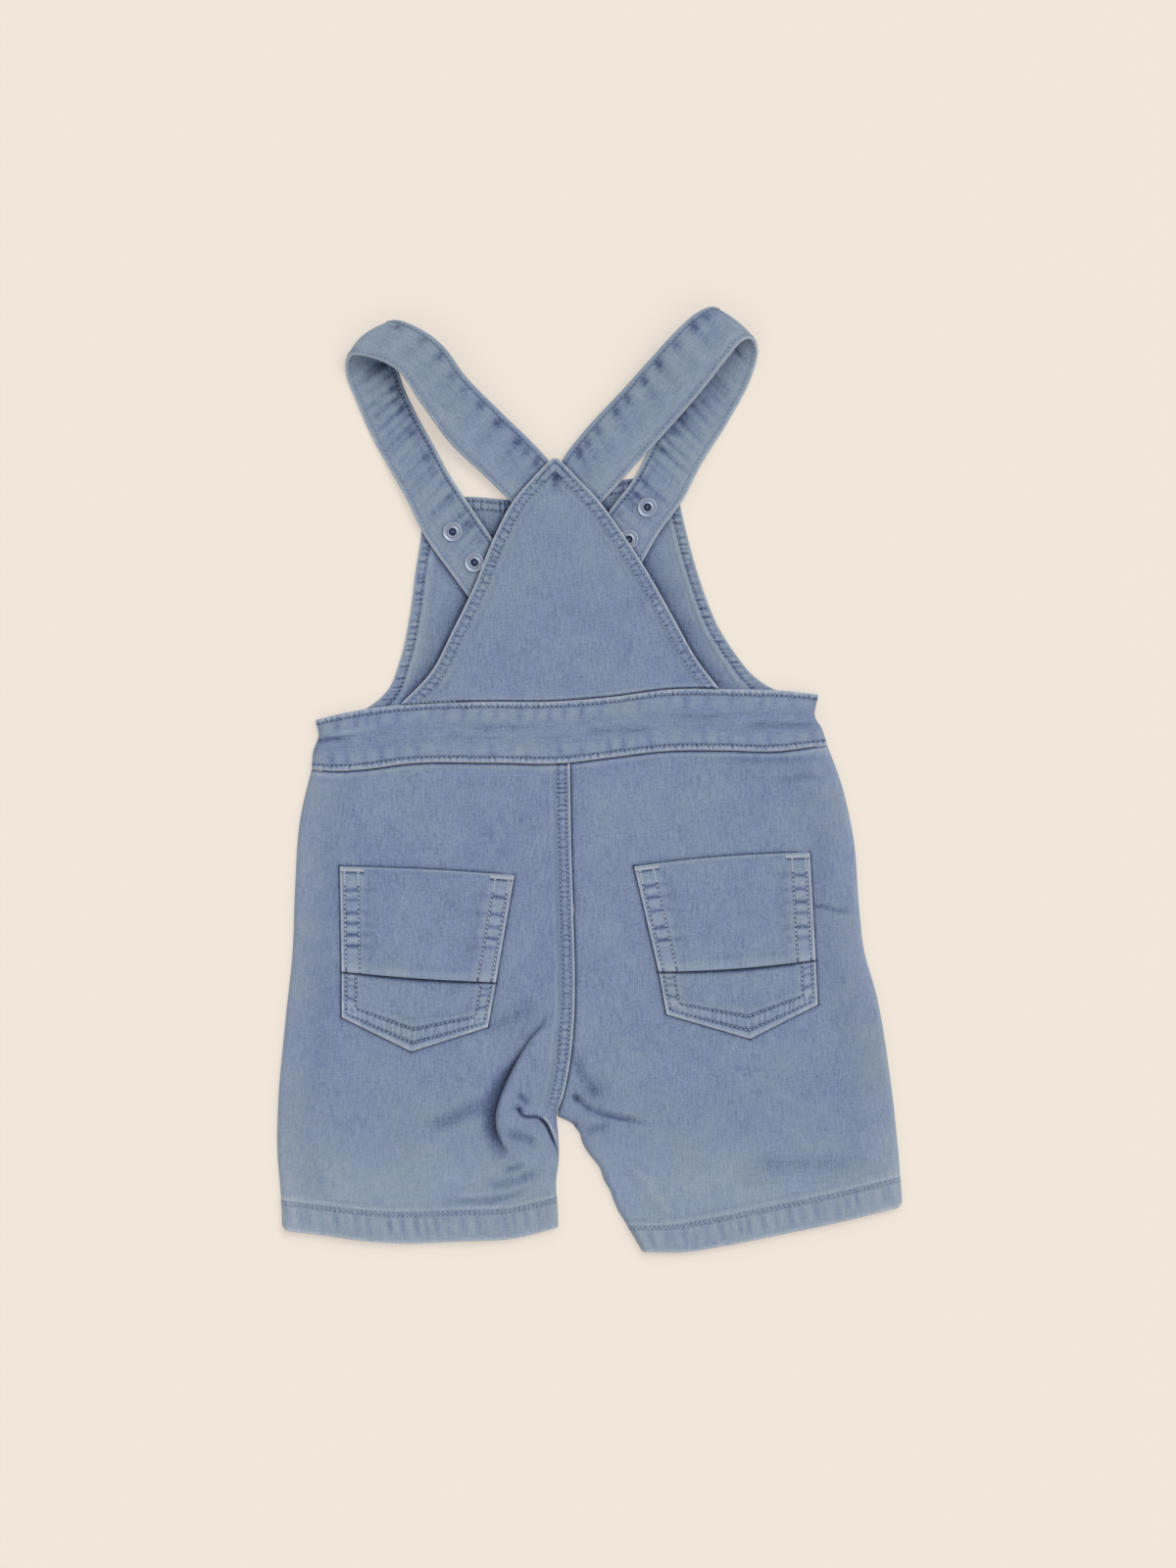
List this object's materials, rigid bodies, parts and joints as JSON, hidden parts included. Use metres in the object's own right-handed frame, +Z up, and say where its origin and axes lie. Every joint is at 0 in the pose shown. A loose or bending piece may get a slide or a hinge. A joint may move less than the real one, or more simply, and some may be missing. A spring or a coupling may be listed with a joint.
{
  "type": "toddler's denim short overalls",
  "caption": "Toddler's denim short overalls, laid flat face down: crossed shoulder straps, pointed back bib, waistband, patch pockets and turned-up hems.",
  "frame": {"origin": "centre of the bounding box at the flat underside on which the garment lies", "axes": "+Z up, out of the garment's back; +Y from the leg hems to the shoulder straps, the longest extent; +X to the right as the back is looked at"},
  "size_m": [0.319, 0.482, 0.0142],
  "materials": {
    "denim": "light washed blue-grey denim, matt",
    "denim_inside": "inner face of the same denim, a little darker, matt",
    "snap_metal": "satin press-stud metal"
  },
  "bodies": {
    "root": {"front_bib": "denim_inside", "front_leg_left": "denim_inside", "front_leg_right": "denim_inside", "back_waistband": "denim", "back_bib": "denim", "back_leg_left": "denim", "back_leg_right": "denim", "pocket_left_upper": "denim", "pocket_left_lower": "denim", "pocket_right_upper": "denim", "pocket_right_lower": "denim", "strap_left": "denim", "strap_right": "denim", "snap_ring_left_1": "snap_metal", "snap_ring_left_2": "snap_metal", "snap_ring_right_1": "snap_metal", "snap_ring_right_2": "snap_metal", "snap_stud_left": "snap_metal", "snap_stud_right": "snap_metal"}
  },
  "joints": []
}
